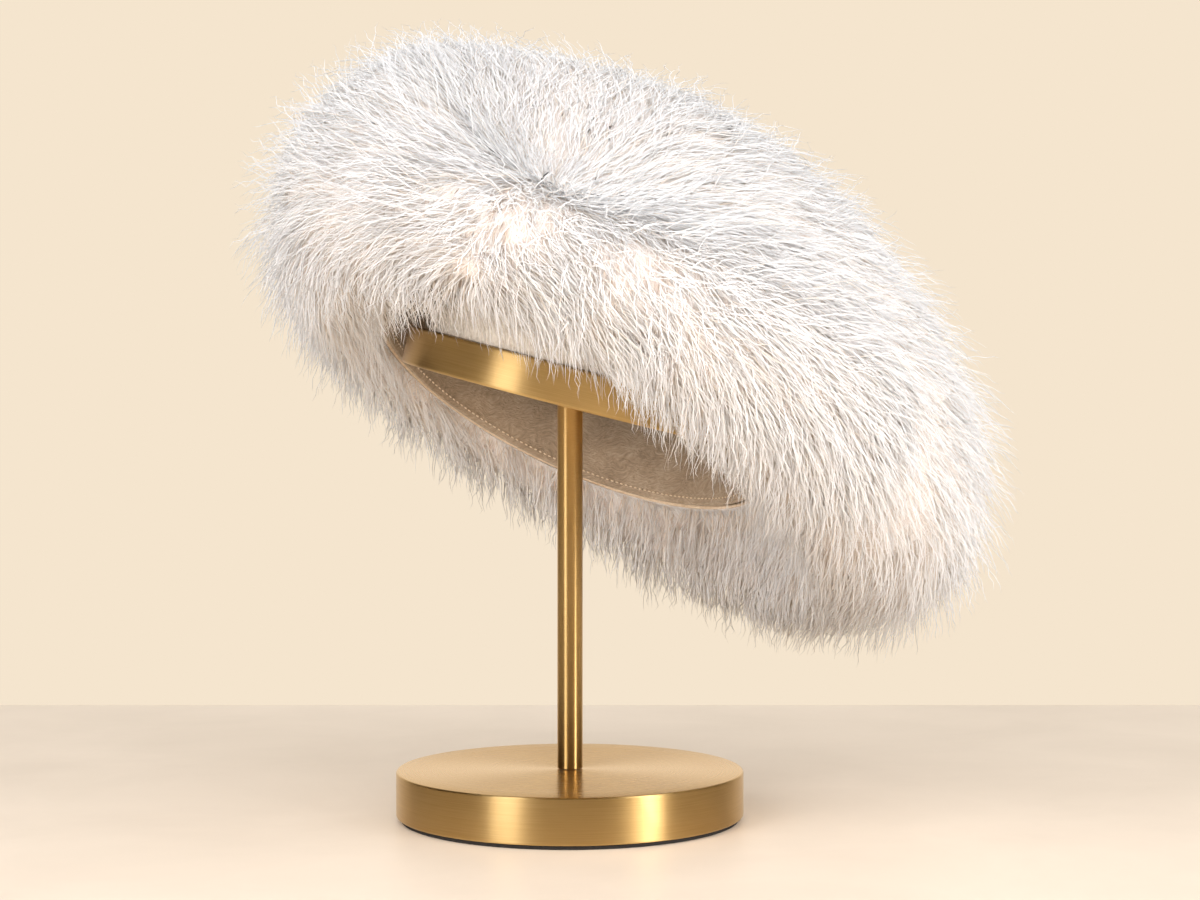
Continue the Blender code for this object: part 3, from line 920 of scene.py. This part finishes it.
def make_underfur():
    """Dense underfur between the leather and the long hairs, combed in the same way. Returns
    its outer skin as a tree, for the hairs to stay above."""
    outside = pelt_grid(HEM, WHORL, UNDERFUR_ROWS, UNDERFUR_COLUMNS)
    outer = underfur_points(outside.steps, outside.angles)
    inside = pelt_grid(HEM, WHORL, INNER_ROWS, UNDERFUR_COLUMNS)
    inner = inside.place + inside.normal * CLEARANCE
    piece = closed_skin("underfur", outer, inner, to_whorl=True)
    mesh = piece.data
    corner = np.zeros(len(mesh.loops), dtype=np.int64)
    mesh.loops.foreach_get("vertex_index", corner)
    sizes = np.zeros(len(mesh.polygons), dtype=np.int64)
    mesh.polygons.foreach_get("loop_total", sizes)
    combed = np.concatenate([combed_map(outside), combed_map(inside)])[corner]
    # The last column's faces close the turn, so their far corners stand a whole turn on
    face = np.repeat(np.arange(len(sizes)), sizes)
    furthest = np.zeros(len(sizes))
    np.maximum.at(furthest, face, combed[:, 0])
    turn = FULL_TURN * OPENING_RADIUS
    closing = (furthest[face] > 0.9 * turn) & (combed[:, 0] < 0.1 * turn)
    combed[closing, 0] += turn
    layer = mesh.uv_layers.new(name="combed")
    layer.data.foreach_set("uv", combed.reshape(-1).astype(np.float32))
    finish_piece(piece, "underfur", underfur_wool(), "fur", "fur")
    faces = skin_faces(UNDERFUR_ROWS, UNDERFUR_COLUMNS, 0)
    return BVHTree.FromPolygons(outer.reshape(-1, 3).tolist(), faces)


def scatter(rng, count, low, high, centre, half_width):
    """Random roots on part of the underfur, spread over its area."""
    rows = 90
    columns = 120
    step_edges = np.linspace(low, high, rows + 1)
    angle_edges = centre + np.linspace(-half_width, half_width, columns + 1)
    steps, angles = np.meshgrid(step_edges, angle_edges, indexing="ij")
    corner = underfur_points(steps, angles)
    sides = corner[1:, :-1] - corner[:-1, :-1], corner[:-1, 1:] - corner[:-1, :-1]
    area = np.linalg.norm(np.cross(*sides), axis=-1)
    # Hairs stand closer together where they are shorter, so that they cover it evenly
    weight = (area / lie_at(steps[:-1, :-1], "length")).reshape(-1)
    cell = rng.choice(len(weight), size=count, p=weight / weight.sum())
    row = cell // columns + rng.uniform(size=count)
    column = cell % columns + rng.uniform(size=count)
    place = low + (high - low) * row / rows
    angle = centre + half_width * (2 * column / columns - 1)
    return roots_at(place, angle)


def smooth_field(place, rng, waves=9, low=25, high=70):
    """Smooth random value near -1 to 1 over space, with features low to high mm across."""
    value = np.zeros(place.shape[:-1])
    for wave in range(waves):
        direction = unit(rng.normal(size=3))
        length = rng.uniform(low, high) * MM
        value += np.sin(place @ direction * FULL_TURN / length + rng.uniform(0, FULL_TURN))
    return value / math.sqrt(waves)


def lie_at(steps, field):
    """One column of the table of lies, at places along the pelt."""
    table = [getattr(lie, field) for lie in LIES]
    return np.interp(steps, [lie.step for lie in LIES], table)


def centre_lines(roots, length, lean, sway, droop, shares):
    """Centre line of each hair at these shares of its length. It bends over from near the
    normal towards the way that the hairs lie, and its weight draws it down."""
    root_lean = np.radians(lie_at(roots.steps, "root_lean")) + lean
    tip_lean = np.radians(lie_at(roots.steps, "tip_lean")) + lean
    flow = unit(roots.flow + roots.side * sway[:, None])
    middles = np.diff(shares) / 2 + shares[:-1]
    place = roots.place - roots.normal * CLEARANCE
    line = []
    start = 0.0
    for share, middle in zip(shares, [shares[0] / 2, *middles]):
        angle = (root_lean + (tip_lean - root_lean) * middle)[:, None]
        heading = roots.normal * np.cos(angle) + flow * np.sin(angle)
        heading = heading + np.array([0, 0, -1.0]) * (droop * middle ** DROOP_CURVE)[:, None]
        place = place + unit(heading) * (length * (share - start))[:, None]
        start = share
        line.append(place)
    return np.stack(line, axis=1)


def make_locks(rng):
    """Guide lines of the locks that the hairs gather into."""
    roots = scatter(rng, LOCK_COUNT, HEM, WHORL, 0.0, math.pi)
    sway, lean, reach = lock_fields(roots.place)
    sway = sway + rng.normal(0, LOCK_SPREAD, LOCK_COUNT)
    lean = lean + rng.normal(0, LOCK_SPREAD, LOCK_COUNT)
    length = lie_at(roots.steps, "length") * MM * (1 + LOCK_REACH * reach)
    length = length * rng.uniform(*LOCK_LENGTHS, LOCK_COUNT)
    droop = lie_at(roots.steps, "droop")
    lines = centre_lines(roots, length, lean, sway, droop, LOCK_SHARES)
    tree = KDTree(LOCK_COUNT)
    for number, place in enumerate(roots.place):
        tree.insert(place, number)
    tree.balance()
    return tree, lines


def lock_fields(place):
    """Slow changes over the pelt of the hairs' sideways sway, lean and length."""
    rng = np.random.default_rng(17)
    sway = smooth_field(place, rng, low=22, high=60) * LOCK_SWAY
    lean = smooth_field(place, rng, low=18, high=50) * LOCK_LEAN
    reach = smooth_field(place, rng, low=16, high=45)
    return sway, lean, reach


def hair_faces(steps):
    """Faces of one three-sided hair of this many steps, whose last point is its tip."""
    faces = [(2, 1, 0)]
    for row in range(steps - 2):
        for side in range(3):
            after = (side + 1) % 3
            low = row * 3
            faces.append((low + side, low + after, low + 3 + after, low + 3 + side))
    last = (steps - 2) * 3
    return faces + [(last + side, last + (side + 1) % 3, last + 3) for side in range(3)]


def hair_parts(lines, shares, width, shade, normal):
    """Points, normals, face corners, face sizes and map of tapered hairs round their centre
    lines. Their normals lean to the skin's, which shades the coat as one soft body."""
    count, steps = lines.shape[:2]
    heading = unit(np.gradient(lines, axis=1))
    any_other_way = np.array([0.31, 0.52, 0.79])
    across = unit(np.cross(heading, any_other_way))
    upward = np.cross(heading, across)
    taper = (1 - HAIR_TAPER * shares[:-1] ** 2)[None, :, None, None]
    taper = taper * width[:, None, None, None] / 2
    turns = (np.arange(3) * FULL_TURN / 3)[:, None]
    ring = across[:, :-1, None] * np.cos(turns) + upward[:, :-1, None] * np.sin(turns)
    outward = np.concatenate([ring.reshape(count, -1, 3), heading[:, -1:]], axis=1)
    normals = unit(outward * (1 - SOFTNESS) + normal[:, None] * SOFTNESS)
    ring = ring * taper + lines[:, :-1, None]
    points = np.concatenate([ring.reshape(count, -1, 3), lines[:, -1:]], axis=1)
    faces = hair_faces(steps)
    sizes = np.tile([len(face) for face in faces], count)
    loop = np.concatenate([np.array(face) for face in faces])
    corners = (loop[None, :] + np.arange(count)[:, None] * points.shape[1]).reshape(-1)
    along = np.append(np.repeat(shares[:-1], 3), 1.0)[loop]
    own_map = np.stack([np.tile(along, count), np.repeat(shade, len(loop))], axis=-1)
    return points.reshape(-1, 3), normals.reshape(-1, 3), corners, sizes, own_map


def hair_piece(name, coats):
    """One mesh of all the hairs of these coats, with the map that their material reads."""
    points, normals, corners, sizes, maps = zip(*coats)
    firsts = np.cumsum([0] + [len(some) for some in points])
    corners = [corner + first for corner, first in zip(corners, firsts)]
    points, normals, corners, sizes, maps = map(np.concatenate, (points, normals, corners, sizes, maps))
    mesh = bpy.data.meshes.new(name)
    mesh.vertices.add(len(points))
    mesh.vertices.foreach_set("co", points.reshape(-1).astype(np.float32))
    mesh.loops.add(len(corners))
    mesh.loops.foreach_set("vertex_index", corners.astype(np.int32))
    mesh.polygons.add(len(sizes))
    starts = np.concatenate([[0], np.cumsum(sizes)[:-1]])
    mesh.polygons.foreach_set("loop_start", starts.astype(np.int32))
    mesh.update(calc_edges=True)
    mesh.shade_smooth()
    mesh.normals_split_custom_set_from_vertices(normals.astype(np.float32))
    layer = mesh.uv_layers.new(name="OFBake")
    layer.data.foreach_set("uv", maps.reshape(-1).astype(np.float32))
    piece = bpy.data.objects.new(name, mesh)
    bpy.context.scene.collection.objects.link(piece)
    return piece


def lay_over(lines, shares, rise, skin):
    """Lays hairs over the underfur: each is kept clear of it, and its tip near this height."""
    for number, share in enumerate(shares[1:], 1):
        low = ROOT_CLEARANCE + TIP_CLEARANCE * share ** LIFT_CURVE
        column = lines[:, number]
        for hair, point in enumerate(column):
            place, normal, _, _ = skin.find_nearest(point)
            height = (Vector(point) - place).dot(normal)
            high = rise[hair] * share
            laid = low + high * (1 - math.exp(min(low - height, 0) / high))
            column[hair] += np.array(normal) * (laid - height)
    return lines


def coat_lines(roots, coat, locks, skin, rng):
    """Centre lines of one coat's hairs: leaned, gathered into locks, crimped and lifted."""
    count = len(roots.steps)
    shares = np.array(coat.shares)
    sway, lean, reach = lock_fields(roots.place)
    free = rng.uniform(size=count) < coat.free
    sway = sway + rng.normal(0, coat.sway, count) * np.where(free, FREE_SWAY, 1.0)
    lean = lean + rng.normal(0, coat.lean, count) - np.where(free, FREE_LEAN, 0)
    length = lie_at(roots.steps, "length") * MM * (1 + HAIR_REACH * reach) * coat.reach
    length = length * rng.uniform(*HAIR_LENGTHS, count) * np.where(free, FREE_LENGTH, 1.0)
    droop = lie_at(roots.steps, "droop") * rng.uniform(*HAIR_DROOPS, count)
    lines = centre_lines(roots, length, lean, sway, droop, shares)
    tree, guides = locks
    nearest = np.array([tree.find(place)[1] for place in roots.place])
    at = shares * (len(LOCK_SHARES) - 1)
    low = np.minimum(at.astype(int), len(LOCK_SHARES) - 2)
    part = (at - low)[None, :, None]
    guide = guides[nearest][:, low] * (1 - part) + guides[nearest][:, low + 1] * part
    pull = np.where(free, FREE_PULL, rng.uniform(*coat.pull, count))[:, None, None]
    lines = lines + (guide - lines) * pull * shares[None, :, None] ** GATHER_CURVE
    for axis, size in ((roots.side, 1.0), (roots.normal, CRIMP_LIFT)):
        wave_length = rng.uniform(*coat.wave, count)[:, None] * MM
        phase = rng.uniform(0, FULL_TURN, count)[:, None]
        wave = np.sin(length[:, None] * shares / wave_length * FULL_TURN + phase)
        size = size * coat.crimp * MM * rng.uniform(*HAIR_CRIMPS, count)[:, None]
        size = size * (shares - CRIMP_START)
        lines = lines + axis[:, None] * (wave * size)[..., None]
    rise = lie_at(roots.steps, "rise") * MM * rng.uniform(*HAIR_RISES, count)
    rise = rise * np.where(free, FREE_RISE, 1.0)
    rise = rise * np.interp(roots.steps, LAID_SPAN, (1.0, coat.rise))
    return lay_over(lines, shares, rise, skin)


def grow(region, counts, locks, skin, hair, rng):
    """Both coats of long hair on one region of the pelt."""
    quarter = FULL_TURN / 4
    centres = {"right": 0.0, "far": quarter, "left": 2 * quarter, "near": -quarter}
    coats = []
    for coat, count in zip((BASE_COAT, TOP_COAT), counts):
        if region == "under":
            roots = scatter(rng, count, HEM, UNDERSIDE_TOP, 0.0, math.pi)
        else:
            roots = scatter(rng, count, UNDERSIDE_TOP, WHORL, centres[region], quarter / 2)
        lines = coat_lines(roots, coat, locks, skin, rng)
        width = coat.width * MM * rng.uniform(*HAIR_WIDTHS, count)
        # The underside's hairs take only the beige end of the tones: painted shade under the beret
        shade = rng.uniform(size=count) * (UNDERSIDE_PAINTED_SHADE if region == "under" else 1.0)
        coats.append(hair_parts(lines, np.array(coat.shares), width, shade, roots.normal))
    finish_piece(hair_piece("fur_" + region, coats), "fur_" + region, hair, "fur", "fur")


def make_fur():
    """Underfur, and the long hair on it region by region."""
    skin = make_underfur()
    rng = np.random.default_rng(3)
    locks = make_locks(rng)
    hair = guard_hair()
    for region, counts in COUNTS.items():
        grow(region, counts, locks, skin, hair, rng)


def make_stage():
    """Pale floor up to the foot of the studio wall, which is the world's own colour."""
    bpy.ops.object.select_all(action="DESELECT")
    bpy.ops.mesh.primitive_plane_add(size=1)
    floor = bpy.context.object
    floor.name = "floor"
    width, depth = FLOOR_SIZE
    floor.data.transform(Matrix.Diagonal((width, depth, 1, 1)))
    floor.data.transform(Matrix.Translation((0, WALL_FOOT_Y - depth / 2, 0)))
    floor.data.materials.append(floor_plaster())


def make_world():
    """The studio as each kind of light path meets it: the cream wall, the white light that
    fills the room, most of it from the viewer's side, and what polished metal mirrors, which
    is dark on that side."""
    world = bpy.data.worlds.new("cream_studio")
    bpy.context.scene.world = world
    world.use_nodes = True
    # The world is met only by rays that leave a surface, so that each kind finds its own light
    world.cycles.sampling_method = "NONE"
    tree = world.node_tree
    back = tree.nodes["Background"]
    paths = add_node(tree, "ShaderNodeLightPath").outputs
    heading = add_node(tree, "ShaderNodeTexCoord").outputs["Generated"]
    away = add_node(tree, "ShaderNodeSeparateXYZ", inputs={"Vector": heading}).outputs["Y"]
    share = add_node(
        tree, "ShaderNodeMapRange", inputs={"Value": away, "From Min": -1.0}
    ).outputs["Result"]
    mirrored = add_node(
        tree, "ShaderNodeValToRGB", inputs={"Fac": share}, stops=MIRRORED_STUDIO
    ).outputs["Color"]
    frontal = add_node(
        tree, "ShaderNodeVectorMath", {"operation": "DOT_PRODUCT"}, {0: heading, 1: ROOM_HEADING}
    ).outputs["Value"]
    weakest, strongest = ROOM_LEVELS
    amount = add_node(
        tree, "ShaderNodeMapRange",
        inputs={"Value": frontal, "From Min": ROOM_DARKEST, "To Min": weakest, "To Max": strongest},
    ).outputs["Result"]
    white = add_node(
        tree, "ShaderNodeVectorMath", {"operation": "SCALE"}, {0: ROOM_WHITE, "Scale": amount}
    ).outputs["Vector"]
    lit = add_node(
        tree, "ShaderNodeMix", {"data_type": "RGBA"},
        {"Factor": paths["Is Glossy Ray"], "A": white, "B": mirrored},
    ).outputs["Result"]
    seen = add_node(
        tree, "ShaderNodeMix", {"data_type": "RGBA"},
        {"Factor": paths["Is Camera Ray"], "A": lit, "B": srgb(WALL_COLOUR)},
    ).outputs["Result"]
    tree.links.new(seen, back.inputs["Color"])


def make_lights():
    """Softboxes that face the stand."""
    for softbox in SOFTBOXES:
        light = bpy.data.lights.new(softbox.name, "AREA")
        light.shape = "RECTANGLE"
        light.size, light.size_y = softbox.size
        light.energy = softbox.watts
        light.color = srgb(softbox.colour)[:3]
        box = bpy.data.objects.new(softbox.name, light)
        bpy.context.scene.collection.objects.link(box)
        box.location = softbox.place
        heading = Vector(softbox.aim) - Vector(softbox.place)
        box.rotation_euler = heading.to_track_quat("-Z", "Y").to_euler()
        box.visible_diffuse = softbox.lights_surfaces
        box.visible_glossy = softbox.mirrored


def make_camera():
    """Camera that looks straight along +Y, as wide as the photograph."""
    camera = bpy.data.objects.new("camera", bpy.data.cameras.new("camera"))
    camera.data.lens = CAMERA_LENS
    camera.data.sensor_width = SENSOR_WIDTH
    camera.location = CAMERA_PLACE
    camera.rotation_euler = (math.pi / 2, 0, 0)
    bpy.context.scene.collection.objects.link(camera)
    bpy.context.scene.camera = camera
    bpy.context.scene.view_settings.view_transform = "Standard"


make_camera()
make_base()
make_post()
make_head()
make_dome()
make_band()
make_stitches()
make_leather()
make_fur()
make_stage()
make_world()
make_lights()
